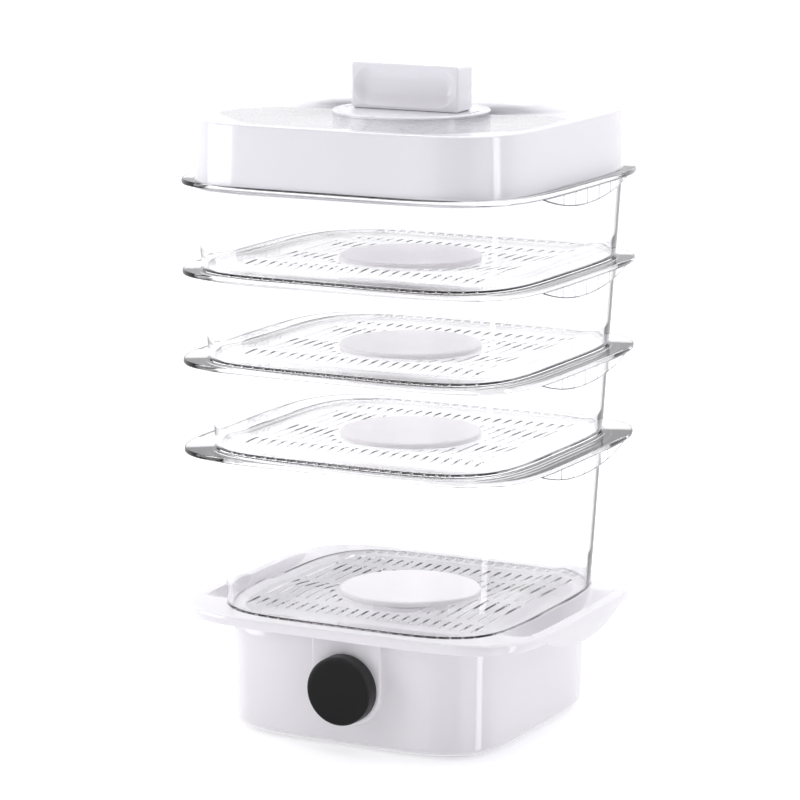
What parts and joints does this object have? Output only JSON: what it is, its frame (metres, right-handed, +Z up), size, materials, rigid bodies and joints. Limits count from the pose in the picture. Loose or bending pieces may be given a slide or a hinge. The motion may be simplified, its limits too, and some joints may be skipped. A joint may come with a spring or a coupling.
{
  "type": "electric food steamer",
  "caption": "Electric food steamer: white heated water base with a timer knob, drip tray with pouring ears, clear stacked containers with slotted floors, and an opal lid with a block handle.",
  "frame": {"origin": "under the middle of the base, on the surface that the feet stand on", "axes": "+Z up through the stack; the timer knob faces -Y; the ears of the trays point to +X and -X"},
  "size_m": [0.2872, 0.27, 0.49],
  "materials": {
    "white_plastic": "gloss white injection-moulded plastic",
    "opal_plastic": "gloss opal white with a faint lavender tint",
    "clear_plastic": "clear polycarbonate",
    "black_plastic": "satin black",
    "tank_plastic": "natural satin plastic",
    "grey_plastic": "matt moulded plastic",
    "ivory_plastic": "matt moulded plastic",
    "dark_plastic": "matt black",
    "steel": "bright zinc-plated steel",
    "cast_plate": "cast and turned",
    "silicone": "soft silicone",
    "rubber": "soft black rubber",
    "wire_cover": "wire insulation"
  },
  "bodies": {
    "base": {"base_housing": "white_plastic", "bottom_cover": "grey_plastic", "bottom_screws": "steel", "rubber_feet": "rubber", "water_tank": "tank_plastic", "heater_plate": "cast_plate", "heater_element": "steel", "heater_seal": "silicone", "heater_ring": "steel", "heater_screws": "steel", "thermostat": "steel", "thermal_fuse": "dark_plastic", "sensor_clamp": "steel", "terminal_block": "ivory_plastic", "cord_bush": "dark_plastic", "internal_wires": "wire_cover", "timer_body": "ivory_plastic", "timer_screws": "steel"},
    "knob": {"timer_knob": "black_plastic", "timer_shaft": "steel"},
    "tray": {"drip_tray": "white_plastic"},
    "container_1": {"tier_1": "clear_plastic", "center_disc_1": "opal_plastic"},
    "container_2": {"tier_2": "clear_plastic", "center_disc_2": "opal_plastic"},
    "container_3": {"tier_3": "clear_plastic", "center_disc_3": "opal_plastic"},
    "container_4": {"tier_4": "clear_plastic", "center_disc_4": "opal_plastic"},
    "lid": {"lid_shell": "opal_plastic", "handle_screws": "steel", "handle_plate": "opal_plastic", "lid_handle": "opal_plastic"},
    "steam_ring_part": {"steam_ring": "tank_plastic"}
  },
  "joints": [
    {"name": "timer_turn", "type": "hinge", "parent": "base", "child": "knob", "pos_m": [0.006, -0.115, 0.048], "axis": [0, 1, 0], "range_deg": [0, 300]},
    {"name": "steam_ring_lift", "type": "slide", "parent": "base", "child": "steam_ring_part", "axis": [0, 0, 1], "range_m": [0, 0.018]},
    {"name": "tray_lift", "type": "slide", "parent": "base", "child": "tray", "axis": [0, 0, 1], "range_m": [0, 0.12]},
    {"name": "container_1_lift", "type": "slide", "parent": "tray", "child": "container_1", "axis": [0, 0, 1], "range_m": [0, 0.12]},
    {"name": "container_2_lift", "type": "slide", "parent": "container_1", "child": "container_2", "axis": [0, 0, 1], "range_m": [0, 0.12]},
    {"name": "container_3_lift", "type": "slide", "parent": "container_2", "child": "container_3", "axis": [0, 0, 1], "range_m": [0, 0.12]},
    {"name": "container_4_lift", "type": "slide", "parent": "container_3", "child": "container_4", "axis": [0, 0, 1], "range_m": [0, 0.12]},
    {"name": "lid_lift", "type": "slide", "parent": "container_4", "child": "lid", "axis": [0, 0, 1], "range_m": [0, 0.12]}
  ]
}
